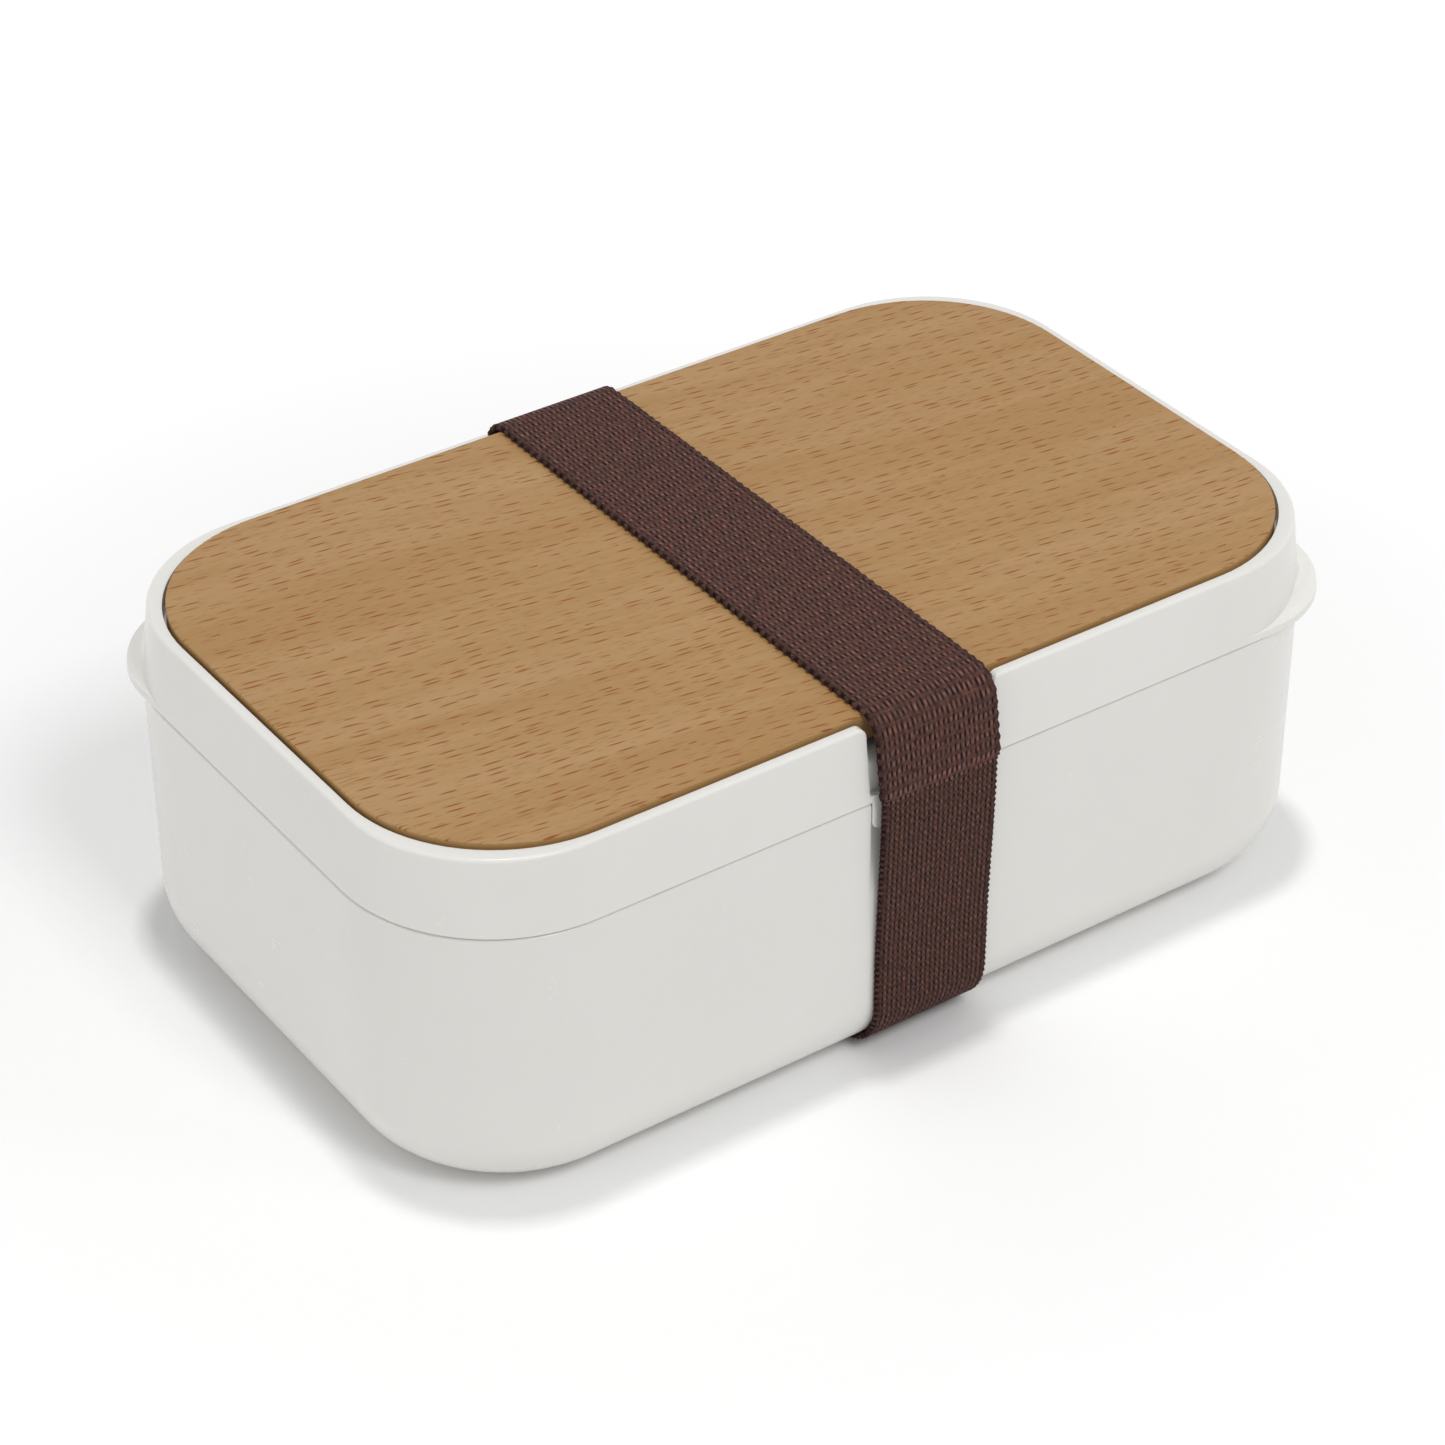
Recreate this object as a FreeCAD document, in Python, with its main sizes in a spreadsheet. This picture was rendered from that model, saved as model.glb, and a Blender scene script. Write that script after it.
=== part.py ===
"""Bento lunch box: a moulded tray and lid, a beech cover, an elastic band, a divider and cutlery.

Millimetres. The origin is the middle of the tray's underside on the table, +X runs along the box,
-Y is the front and +Z is up.
"""
import FreeCAD, Part
import math
import os
import Sketcher
from types import SimpleNamespace

SIZES = [
    # Tray
    ("box_length", 180.0, "outside length where lid and tray meet"),
    ("box_width", 110.6, "outside width where lid and tray meet"),
    ("base_height", 51.5, "tray height, table to parting line"),
    ("corner_radius", 27.4, "upright corners of the tray"),
    ("bottom_radius", 12.2, "round between the tray's walls and underside"),
    ("base_wall", 2.6, "tray wall"),
    ("floor_thickness", 2.9, "tray floor"),
    ("edge_break", 0.6, "small round on the tray's lip"),
    # Lid
    ("rim_height", 13.55, "parting line to the top of the lid's rim"),
    ("lid_flare", 1.65, "how far the lid's wall leans in on its way up"),
    ("rim_width", 1.55, "rim beside the cover, seen from above"),
    ("rim_round", 0.6, "round on the rim's outer edge"),
    ("parting_gap", 0.35, "shadow gap between lid and tray"),
    ("land_inset", 1.6, "outer wall to the land that sits on the tray's lip"),
    ("ledge_width", 2.9, "ledge that carries the cover"),
    ("bay_depth", 11.0, "cutlery bay under the cover"),
    ("lid_floor", 1.8, "floor of the cutlery bay"),
    ("plug_clearance", 0.35, "plug to tray wall"),
    ("plug_depth", 6.5, "plug below the parting line"),
    ("skirt_wall", 2.6, "wall of the plug below the bay floor"),
    ("lift_tab_reach", 3.0, "how far a corner lift tab stands out"),
    ("lift_tab_edge", 1.2, "thickness of a lift tab at its edge"),
    ("lift_tab_lip", 0.3, "flat along a lift tab's edge"),
    # Cover
    ("cover_gap", 0.6, "cover to rim"),
    ("cover_corner", 26.2, "upright corners of the cover"),
    ("cover_thickness", 4.85, "beech panel"),
    ("cover_proud", 0.8, "how far the cover stands above the rim"),
    ("cover_round", 0.25, "broken edges of the cover"),
    # Band channel and clip tongues
    ("channel_width", 24.4, "notch, pocket and channel for the band"),
    ("channel_depth", 1.3, "pocket behind a tongue, which fades out further down the wall"),
    ("floor_channel_depth", 1.3, "channel in the underside"),
    ("channel_round", 0.3, "soft upright edges of the notch"),
    ("notch_drop", 1.4, "gap under the cover in the lid's notch"),
    ("shoulder_radius", 2.4, "round shoulder inside the notch"),
    ("notch_round", 1.6, "round corners of the rim at the notch"),
    ("tongue_rise", 1.4, "ledge over the tongue, above the parting line"),
    ("tongue_drop", 5.1, "tongue below the parting line"),
    ("tongue_side_gap", 0.3, "tongue to pocket side"),
    ("tongue_back_gap", 0.2, "tongue to pocket floor"),
    ("tongue_corner", 1.8, "lower corners of the tongue"),
    ("tongue_round", 0.3, "soft edges of the tongue"),
    # Band
    ("band_width", 23.2, "woven elastic above the seam"),
    ("band_lower_width", 22.2, "woven elastic below the seam, stretched tighter"),
    ("band_thickness", 1.0, "woven elastic"),
    ("band_gap", 0.1, "band to what it lies on"),
    ("band_overhang", 2.8, "band beyond the cover's edge"),
    ("band_ease", 1.2, "bend over the cover's edge starts this far in"),
    ("band_soft", 12.0, "soft bends along the wall"),
    ("band_bulge", 0.9, "band to tongue at the seam"),
    ("band_turn", 9.8, "bend under the tray"),
    ("seam_height", 1.1, "seam above the parting line"),
    ("lean_height", 1.6, "the band leans in from this far above the seam"),
    ("settle_height", 22.0, "the band lies on the wall from here down"),
    # Seal
    ("seal_height", 2.0, "groove height"),
    ("seal_depth", 1.3, "groove depth"),
    ("seal_offset", 1.5, "groove above the plug's lower edge"),
    ("seal_gap", 0.12, "bead to tray wall"),
    ("seal_fit", 0.05, "seal to groove"),
    ("seal_bead", 0.5, "round on the bead"),
    # Divider
    ("divider_thickness", 2.0, "divider wall"),
    ("divider_clearance", 0.4, "divider to tray walls"),
    ("divider_headroom", 0.6, "divider to lid plug"),
    ("divider_corner", 4.0, "upper corners of the divider"),
    ("divider_round", 0.6, "soft edges of the divider wall"),
    ("foot_width", 12.0, "foot under the divider"),
    ("foot_thickness", 1.6, "foot under the divider"),
    ("foot_corner", 3.0, "round corners of the foot"),
    # Cutlery
    ("cutlery_offset", 22.0, "fork and knife from the box's middle"),
    ("cutlery_thickness", 2.4, "fork and knife"),
    ("cutlery_round", 0.5, "soft edges of fork and knife"),
    ("fork_length", 148.0, "whole fork"),
    ("fork_width", 22.0, "fork head"),
    ("fork_head", 52.0, "fork head length"),
    ("fork_neck", 7.5, "narrowest part of the fork"),
    ("fork_end", 14.0, "end of the fork's handle"),
    ("fork_toe", 3.0, "how far the tips turn up"),
    ("fork_shoulder", 9.0, "round shoulders of the fork head"),
    ("fork_curve", 148.0, "bend where the fork head turns up"),
    ("tine_round", 2.6, "round corners of the outer tines"),
    ("slot_width", 2.6, "gap between tines"),
    ("slot_length", 33.0, "length of the tines"),
    ("knife_length", 148.0, "whole knife"),
    ("knife_width", 17.0, "blade"),
    ("knife_blade", 72.0, "blade length"),
    ("knife_end", 13.0, "handle"),
    ("knife_tip", 13.0, "round at the blade's tip"),
    ("knife_nose", 2.0, "round at the blade's back"),
    ("knife_step", 8.0, "run from the handle's width to the blade's"),
    ("knife_ease", 8.0, "rounds at both ends of that run"),
    ("knife_bevel", 5.0, "bevel along the cutting edge"),
    ("knife_land", 0.6, "thickness left at the cutting edge"),
]

ROOT_TWO = math.sqrt(2)
CUT_MARGIN = 5.0
ROUND_SHARE = 0.9
TINE_SLOT_COUNT = 3
LIFT_TAB_COUNT = 2
FULL_TURN = 360
TOUCH = 1e-4


class Length:
    """A length with its number and its formula in the sheet."""

    def __init__(self, number, formula):
        self.number = number
        self.formula = formula

    def joined(self, other, sign, number):
        formula = other.formula if isinstance(other, Length) else repr(other)
        return Length(number, f"({self.formula} {sign} {formula})")

    def __add__(self, other):
        return self.joined(other, "+", self.number + plain(other))

    def __sub__(self, other):
        return self.joined(other, "-", self.number - plain(other))

    def __mul__(self, other):
        return self.joined(other, "*", self.number * plain(other))

    def __truediv__(self, other):
        return self.joined(other, "/", self.number / plain(other))

    def __neg__(self):
        return Length(-self.number, f"(-1 * {self.formula})")


def plain(value):
    """The number behind a length, or the number itself."""
    return value.number if isinstance(value, Length) else value


def write_sheet(document):
    """Put every driving size in the sheet and give back its lengths by name."""
    sheet = document.addObject("Spreadsheet::Sheet", "Sizes")
    for row, (name, number, note) in enumerate(SIZES, start=1):
        sheet.set(f"A{row}", name)
        sheet.set(f"B{row}", str(number))
        sheet.set(f"C{row}", note)
        sheet.setAlias(f"B{row}", name)
    document.recompute()
    return SimpleNamespace(**{name: Length(float(sheet.get(name)), f"Sizes.{name}") for name, _, _ in SIZES})


doc = FreeCAD.newDocument("lunch_box")
dim = write_sheet(doc)


# Helpers


def bind(target, setting, value):
    """Tie one setting of an object to its formula in the sheet."""
    target.setExpression(setting, value.formula)


def new_body(label):
    body = doc.addObject("PartDesign::Body", label)
    body.Label = label
    body.Placement = FreeCAD.Placement()
    return body


def origin_feature(body, role):
    return next(feature for feature in body.Origin.OriginFeatures if feature.Role == role)


def new_sketch(body, name, role, lift=None):
    """A sketch on one of the body's origin planes, or lifted off it along its normal."""
    sketch = body.newObject("Sketcher::SketchObject", name)
    sketch.AttachmentSupport = [(origin_feature(body, role), "")]
    sketch.MapMode = "FlatFace"
    if lift is not None:
        bind(sketch, "AttachmentOffset.Base.z", lift)
    return sketch


def set_place(sketch, point, across, up):
    """Hold one point of a sketch at a place measured from the sketch's origin."""
    for kind, value in (("DistanceX", across), ("DistanceY", up)):
        index = sketch.addConstraint(Sketcher.Constraint(kind, -1, 1, *point, plain(value)))
        if isinstance(value, Length):
            bind(sketch, f"Constraints[{index}]", value)


def trim_points(before, corner, after, radius):
    """Where a round of this radius leaves the two lines, and its centre."""
    into = (before - corner).normalize()
    out = (after - corner).normalize()
    half_angle = into.getAngle(out) / 2
    reach = radius / math.tan(half_angle)
    middle = (into + out).normalize() * (radius / math.sin(half_angle))
    return corner + into * reach, corner + out * reach, corner + middle


def draw_outline(sketch, corners):
    """A closed outline through corners (across, up) or (across, up, radius of the round there)."""
    places = [FreeCAD.Vector(plain(corner[0]), plain(corner[1]), 0) for corner in corners]
    rounds = [corner[2] if len(corner) > 2 else None for corner in corners]
    count = len(corners)
    arrive, leave, arcs = list(places), list(places), {}
    for i, radius in enumerate(rounds):
        if radius is not None:
            ends = trim_points(places[i - 1], places[i], places[(i + 1) % count], plain(radius))
            arrive[i], leave[i], centre = ends
            bulge = centre + (places[i] - centre).normalize() * plain(radius)
            arcs[i] = Part.Arc(arrive[i], bulge, leave[i])
    lines = [sketch.addGeometry(Part.LineSegment(leave[i], arrive[(i + 1) % count])) for i in range(count)]
    for i, radius in enumerate(rounds):
        before, after = lines[i - 1], lines[i]
        if radius is None:
            sketch.addConstraint(Sketcher.Constraint("Coincident", before, 2, after, 1))
            set_place(sketch, (after, 1), *corners[i][:2])
            continue
        arc = sketch.addGeometry(arcs[i])
        start = sketch.getPoint(arc, 1)
        near, far = (1, 2) if start.distanceToPoint(arrive[i]) < TOUCH else (2, 1)
        tip = sketch.addGeometry(Part.Point(places[i]), True)
        sketch.addConstraint([
            Sketcher.Constraint("Tangent", before, 2, arc, near),
            Sketcher.Constraint("Tangent", arc, far, after, 1),
            Sketcher.Constraint("PointOnObject", tip, 1, before),
            Sketcher.Constraint("PointOnObject", tip, 1, after),
        ])
        index = sketch.addConstraint(Sketcher.Constraint("Radius", arc, plain(radius)))
        bind(sketch, f"Constraints[{index}]", radius)
        set_place(sketch, (tip, 1), *corners[i][:2])


def draw_rounded(sketch, half_length, half_width, radius):
    """A rectangle with round corners about the sketch's origin."""
    draw_outline(sketch, [
        (half_length, half_width, radius),
        (-half_length, half_width, radius),
        (-half_length, -half_width, radius),
        (half_length, -half_width, radius),
    ])


def add_pad(body, name, sketch, length, reverse=False, both_ways=False):
    pad = body.newObject("PartDesign::Pad", name)
    pad.Profile = sketch
    pad.Reversed = reverse
    if both_ways:
        pad.SideType = "Symmetric"
    bind(pad, "Length", length)
    doc.recompute()
    return pad


def add_pocket(body, name, sketch, length, reverse=False, both_ways=False):
    before = body.Shape.Volume
    pocket = body.newObject("PartDesign::Pocket", name)
    pocket.Profile = sketch
    pocket.Reversed = reverse
    if both_ways:
        pocket.SideType = "Symmetric"
    bind(pocket, "Length", length)
    doc.recompute()
    if not pocket.Shape.Volume < before:
        raise RuntimeError(f"{name} cuts nothing")
    return pocket


def add_fillet(body, name, edges, radius):
    base = body.Tip
    names = [f"Edge{i}" for i, edge in enumerate(base.Shape.Edges, start=1)
             if any(edge.isSame(wanted) for wanted in edges)]
    fillet = body.newObject("PartDesign::Fillet", name)
    fillet.Base = (base, names)
    bind(fillet, "Radius", radius)
    doc.recompute()
    return fillet


def level_edges(shape):
    """Every edge but the upright ones."""
    return [edge for edge in shape.Edges
            if edge.BoundBox.XLength > TOUCH or edge.BoundBox.YLength > TOUCH]


def flat_faces(shape, direction):
    """Flat faces that look along a direction, the furthest along it last."""
    look = FreeCAD.Vector(*direction)
    faces = [face for face in shape.Faces
             if isinstance(face.Surface, Part.Plane) and (face.normalAt(0, 0) - look).Length < TOUCH]
    return sorted(faces, key=lambda face: face.CenterOfMass.dot(look))


UP = (0, 0, 1)
DOWN = (0, 0, -1)
LEFT = (-1, 0, 0)
RIGHT = (1, 0, 0)
FRONT = (0, -1, 0)
BACK = (0, 1, 0)

# Places that several pieces share

half_length = dim.box_length / 2
half_width = dim.box_width / 2
rim_top = dim.base_height + dim.rim_height
cover_top = rim_top + dim.cover_proud
ledge_top = cover_top - dim.cover_thickness
bay_floor = ledge_top - dim.bay_depth
lid_under = bay_floor - dim.lid_floor
lid_foot = dim.base_height + dim.parting_gap
lid_lean = dim.lid_flare / (rim_top - lid_foot)
plug_foot = dim.base_height - dim.plug_depth
seal_foot = plug_foot + dim.seal_offset
tongue_foot = dim.base_height - dim.tongue_drop
tongue_top = dim.base_height + dim.tongue_rise
channel_wall = half_width - dim.channel_depth
on_wall = half_width + dim.band_gap
off_tongue = half_width + dim.band_bulge
seam = dim.base_height + dim.seam_height
lean = seam + dim.lean_height
rim_inset = dim.lid_flare + dim.rim_width
cover_inset = rim_inset + dim.cover_gap
plug_inset = dim.base_wall + dim.plug_clearance
cavity_round = dim.bottom_radius - dim.base_wall


def inset_outline(sketch, inset, radius):
    """The box's outline moved inwards, with its own corner radius."""
    draw_rounded(sketch, half_length - inset, half_width - inset, radius)


def make_tray():
    body = new_body("base_tray")
    outside = new_sketch(body, "tray_outline", "XY_Plane")
    draw_rounded(outside, half_length, half_width, dim.corner_radius)
    add_pad(body, "tray_block", outside, dim.base_height)
    inside = new_sketch(body, "cavity_outline", "XY_Plane", dim.base_height)
    inset_outline(inside, dim.base_wall, dim.corner_radius - dim.base_wall)
    cavity = add_pocket(body, "cavity", inside, dim.base_height - dim.floor_thickness)
    rounded = add_fillet(body, "cavity_bottom_round", flat_faces(cavity.Shape, UP)[0].Edges, cavity_round)
    underside = flat_faces(rounded.Shape, DOWN)[-1]
    outer = add_fillet(body, "tray_bottom_round", underside.Edges, dim.bottom_radius)
    add_fillet(body, "lip_round", flat_faces(outer.Shape, UP)[-1].Edges, dim.edge_break)
    add_band_channel(body)
    return body


def add_band_channel(body):
    """A pocket behind each tongue, which fades into the wall, and a channel across the underside."""
    pocket = new_sketch(body, "tongue_pocket_section", "YZ_Plane")
    out = half_width + CUT_MARGIN
    top = dim.base_height + CUT_MARGIN
    foot = tongue_foot - dim.tongue_side_gap
    fade = half_width + dim.channel_depth
    for wall, past, outward in ((channel_wall, fade, out), (-channel_wall, -fade, -out)):
        draw_outline(pocket, [
            (outward, top), (wall, top), (wall, foot, dim.band_soft),
            (past, dim.settle_height), (outward, dim.settle_height),
        ])
    add_pocket(body, "tongue_pockets", pocket, dim.channel_width, both_ways=True)
    channel = new_sketch(body, "floor_channel_section", "YZ_Plane")
    below = -(dim.floor_thickness + CUT_MARGIN)
    depth = dim.floor_channel_depth
    bend_top = (depth + dim.band_turn + dim.bottom_radius) / 2
    draw_outline(channel, [
        (-out, bend_top), (-out, below), (out, below), (out, bend_top),
        (on_wall, bend_top), (on_wall, depth, dim.band_turn),
        (-on_wall, depth, dim.band_turn), (-on_wall, bend_top),
    ])
    add_pocket(body, "floor_channel", channel, dim.channel_width, both_ways=True)


def notch_walls(shape):
    """The flat sides of the band's notches."""
    side = dim.channel_width.number / 2
    return [face for look in (LEFT, RIGHT) for face in flat_faces(shape, look)
            if abs(abs(face.CenterOfMass.x) - side) < TOUCH]


def make_lid():
    body = new_body("lid_shell")
    foot = new_sketch(body, "lid_foot_outline", "XY_Plane", lid_foot)
    draw_rounded(foot, half_length, half_width, dim.corner_radius)
    wall = add_pad(body, "lid_wall", foot, rim_top - lid_foot)
    wall.setExpression("TaperAngle", f"-atan({lid_lean.formula})")
    doc.recompute()
    add_fillet(body, "rim_edge_round", flat_faces(wall.Shape, UP)[-1].Edges, dim.rim_round)

    add_lift_tabs(body)

    land = new_sketch(body, "land_outline", "XY_Plane", lid_foot)
    inset_outline(land, dim.land_inset, dim.corner_radius - dim.land_inset)
    add_pad(body, "land", land, dim.parting_gap, reverse=True)
    plug = new_sketch(body, "plug_outline", "XY_Plane", dim.base_height)
    inset_outline(plug, plug_inset, dim.corner_radius - plug_inset)
    add_pad(body, "plug", plug, dim.plug_depth, reverse=True)

    recess_corner = dim.cover_corner + dim.cover_gap
    recess = new_sketch(body, "recess_outline", "XY_Plane", rim_top)
    inset_outline(recess, rim_inset, recess_corner)
    add_pocket(body, "cover_recess", recess, dim.cover_thickness - dim.cover_proud)
    bay = new_sketch(body, "bay_outline", "XY_Plane", ledge_top)
    inset_outline(bay, rim_inset + dim.ledge_width, recess_corner - dim.ledge_width)
    add_pocket(body, "cutlery_bay", bay, dim.bay_depth)
    under = new_sketch(body, "skirt_outline", "XY_Plane", plug_foot)
    skirt_inset = plug_inset + dim.skirt_wall
    inset_outline(under, skirt_inset, dim.corner_radius - skirt_inset)
    add_pocket(body, "under_lid", under, lid_under - plug_foot, reverse=True)

    groove = new_sketch(body, "seal_groove_outline", "XY_Plane", seal_foot)
    groove_inset = plug_inset + dim.seal_depth
    draw_rounded(groove, half_length, half_width, dim.corner_radius)
    inset_outline(groove, groove_inset, dim.corner_radius - groove_inset)
    add_pocket(body, "seal_groove", groove, dim.seal_height, reverse=True)

    add_band_notches(body)
    add_tongues(body)
    return body


def add_lift_tabs(body):
    """Lift tabs on two opposite corners, where the lid's foot turns on a tighter radius."""
    tab_radius = dim.corner_radius - dim.lift_tab_reach / (ROOT_TWO - 1)
    outline = new_sketch(body, "lift_tab_outline", "XY_Plane", lid_foot)
    near_x = half_length - dim.corner_radius
    near_y = dim.corner_radius - half_width
    draw_outline(outline, [
        (near_x, near_y), (half_length, near_y),
        (half_length, -half_width, tab_radius), (near_x, -half_width),
    ])
    plate = add_pad(body, "lift_tab_plate", outline, dim.lift_tab_edge)
    plate.setExpression("TaperAngle", f"-atan({lid_lean.formula})")

    wall_radius = tab_radius - dim.lift_tab_reach
    sweep_radius = dim.lift_tab_reach - dim.lift_tab_lip
    sweep_foot = lid_foot + dim.lift_tab_edge / 2
    plate_top = lid_foot + dim.lift_tab_edge
    sweep_top = plate_top + sweep_radius + dim.lift_tab_lip
    head_radius = wall_radius - lid_lean * (sweep_top - lid_foot)
    section = new_sketch(body, "lift_tab_section", "XZ_Plane", half_width - tab_radius)
    bind(section, "AttachmentOffset.Base.x", half_length - tab_radius)
    edge_radius = tab_radius - dim.lift_tab_lip / 2
    draw_outline(section, [
        (TOUCH, sweep_foot), (edge_radius, sweep_foot), (edge_radius, plate_top),
        (wall_radius, plate_top, sweep_radius), (head_radius, sweep_top), (TOUCH, sweep_top),
    ])
    sweep = body.newObject("PartDesign::Revolution", "lift_tab_sweep")
    sweep.Profile = section
    sweep.ReferenceAxis = (section, ["V_Axis"])
    sweep.Angle = FULL_TURN
    doc.recompute()
    pair = body.newObject("PartDesign::PolarPattern", "lift_tab_pair")
    pair.Originals = [plate, sweep]
    pair.Axis = (origin_feature(body, "Z_Axis"), [""])
    pair.Angle = FULL_TURN
    pair.Occurrences = LIFT_TAB_COUNT
    body.Tip = pair
    doc.recompute()


def add_band_notches(body):
    """A notch in each long side lets the band down, past a round shoulder to the tongue's ledge."""
    notch = new_sketch(body, "notch_section", "YZ_Plane")
    out = half_width + CUT_MARGIN
    top = rim_top + CUT_MARGIN
    bay_half = half_width - rim_inset - dim.ledge_width
    shoulder = ledge_top - dim.notch_drop
    for inward, wall, outward in ((bay_half, channel_wall, out), (-bay_half, -channel_wall, -out)):
        draw_outline(notch, [
            (outward, top), (inward, top), (inward, shoulder),
            (wall, shoulder, dim.shoulder_radius), (wall, tongue_top), (outward, tongue_top),
        ])
    add_pocket(body, "band_notches", notch, dim.channel_width, both_ways=True)
    ease = new_sketch(body, "notch_corner_outline", "XZ_Plane")
    side = dim.channel_width / 2
    wide = side + dim.notch_round + CUT_MARGIN
    draw_outline(ease, [
        (-wide, top), (-wide, rim_top), (-side, rim_top, dim.notch_round), (-side, shoulder),
        (side, shoulder), (side, rim_top, dim.notch_round), (wide, rim_top), (wide, top),
    ])
    cut = add_pocket(body, "notch_corners", ease, dim.box_width, both_ways=True)
    arrises = [max(wall.Edges, key=lambda edge: edge.BoundBox.ZLength) for wall in notch_walls(cut.Shape)]
    add_fillet(body, "notch_edge_round", arrises, dim.channel_round)


def add_tongues(body):
    """A clip tongue hangs from each notch into the tray's pocket."""
    outline = new_sketch(body, "tongue_outline", "XZ_Plane", half_width)
    side = dim.channel_width / 2 - dim.tongue_side_gap
    draw_outline(outline, [
        (side, lid_foot), (-side, lid_foot),
        (-side, tongue_foot, dim.tongue_corner), (side, tongue_foot, dim.tongue_corner),
    ])
    tongue = add_pad(body, "tongue", outline, dim.channel_depth - dim.tongue_back_gap, reverse=True)
    pair = body.newObject("PartDesign::Mirrored", "tongue_pair")
    pair.Originals = [tongue]
    pair.MirrorPlane = (origin_feature(body, "XZ_Plane"), [""])
    body.Tip = pair
    doc.recompute()
    edges = [edge for look in (FRONT, BACK) for edge in flat_faces(pair.Shape, look)[-1].Edges
             if edge.CenterOfMass.z < lid_foot.number - TOUCH]
    add_fillet(body, "tongue_edge_round", edges, dim.tongue_round)


def make_seal():
    body = new_body("lid_seal")
    ring = new_sketch(body, "seal_outline", "XY_Plane", seal_foot + dim.seal_fit)
    outer_inset = dim.base_wall + dim.seal_gap
    inner_inset = plug_inset + dim.seal_depth - dim.seal_fit
    inset_outline(ring, outer_inset, dim.corner_radius - outer_inset)
    inset_outline(ring, inner_inset, dim.corner_radius - inner_inset)
    pad = add_pad(body, "seal_ring", ring, dim.seal_height - dim.seal_fit * 2)
    bead = [edge for look in (UP, DOWN) for edge in flat_faces(pad.Shape, look)[-1].OuterWire.Edges]
    add_fillet(body, "seal_bead_round", bead, dim.seal_bead)
    return body


def make_cover():
    body = new_body("wood_cover")
    outline = new_sketch(body, "cover_outline", "XY_Plane", ledge_top)
    inset_outline(outline, cover_inset, dim.cover_corner)
    panel = add_pad(body, "cover_panel", outline, dim.cover_thickness)
    edges = [edge for look in (UP, DOWN) for edge in flat_faces(panel.Shape, look)[-1].Edges]
    add_fillet(body, "cover_edge_round", edges, dim.cover_round)
    return body


def make_band(label, front_run, width):
    """A length of band from its path down the front, given inside first, and the same at the back."""
    body = new_body(label)
    section = new_sketch(body, f"{label}_section", "YZ_Plane")
    inside, outside = front_run
    draw_outline(section, inside + mirrored(inside) + outside_back(outside))
    add_pad(body, f"{label}_webbing", section, width, both_ways=True)
    return body


def mirrored(run):
    """The same run at the back, in the other order."""
    return [(-corner[0], *corner[1:]) for corner in reversed(run)]


def outside_back(run):
    return [(-corner[0], *corner[1:]) for corner in run] + list(reversed(run))


def upper_run():
    """From the seam up past the tongue's ledge and round the cover's edge."""
    over_edge = half_width - cover_inset + dim.band_overhang
    on_cover = cover_top + dim.band_gap
    bend = dim.band_overhang + dim.band_ease
    thick = dim.band_thickness
    inside = [
        (-off_tongue, seam), (-off_tongue, lean, dim.band_soft), (-over_edge, on_cover, bend),
    ]
    outside = [
        (-(off_tongue + thick), seam), (-(off_tongue + thick), lean, dim.band_soft + thick),
        (-(over_edge + thick), on_cover + thick, bend + thick),
    ]
    return inside, outside


def lower_run():
    """From the seam down past the tongue, along the wall and under the tray."""
    under = dim.floor_channel_depth - dim.band_gap
    thick = dim.band_thickness
    soft = dim.band_soft
    inside = [
        (-off_tongue, seam), (-off_tongue, tongue_foot, soft),
        (-on_wall, dim.settle_height, soft), (-on_wall, under, dim.band_turn),
    ]
    outside = [
        (-(off_tongue + thick), seam), (-(off_tongue + thick), tongue_foot, soft + thick),
        (-(on_wall + thick), dim.settle_height, soft),
        (-(on_wall + thick), under - thick, dim.band_turn + thick),
    ]
    return inside, outside


def make_divider():
    body = new_body("food_divider")
    half_span = half_width - dim.base_wall - dim.divider_clearance
    wall = new_sketch(body, "divider_outline", "YZ_Plane")
    top = plug_foot - dim.divider_headroom
    draw_outline(wall, [
        (half_span, top, dim.divider_corner), (-half_span, top, dim.divider_corner),
        (-half_span, dim.floor_thickness, cavity_round), (half_span, dim.floor_thickness, cavity_round),
    ])
    slab = add_pad(body, "divider_wall", wall, dim.divider_thickness, both_ways=True)
    edges = [edge for look in (LEFT, RIGHT) for edge in flat_faces(slab.Shape, look)[-1].Edges]
    add_fillet(body, "divider_edge_round", edges, dim.divider_round)
    foot = new_sketch(body, "divider_foot_outline", "XY_Plane", dim.floor_thickness)
    draw_rounded(foot, dim.foot_width / 2, half_span - cavity_round, dim.foot_corner)
    add_pad(body, "divider_foot", foot, dim.foot_thickness)
    return body


def trim_to_plan(body, name, corners, reach):
    """Cut away what lies outside an outline seen from above."""
    plan = new_sketch(body, f"{name}_plan", "XY_Plane", bay_floor - CUT_MARGIN)
    draw_outline(plan, [(reach, reach), (-reach, reach), (-reach, -reach), (reach, -reach)])
    draw_outline(plan, corners)
    return add_pocket(body, f"{name}_trim", plan, dim.bay_depth + CUT_MARGIN * 2, reverse=True)


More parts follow.
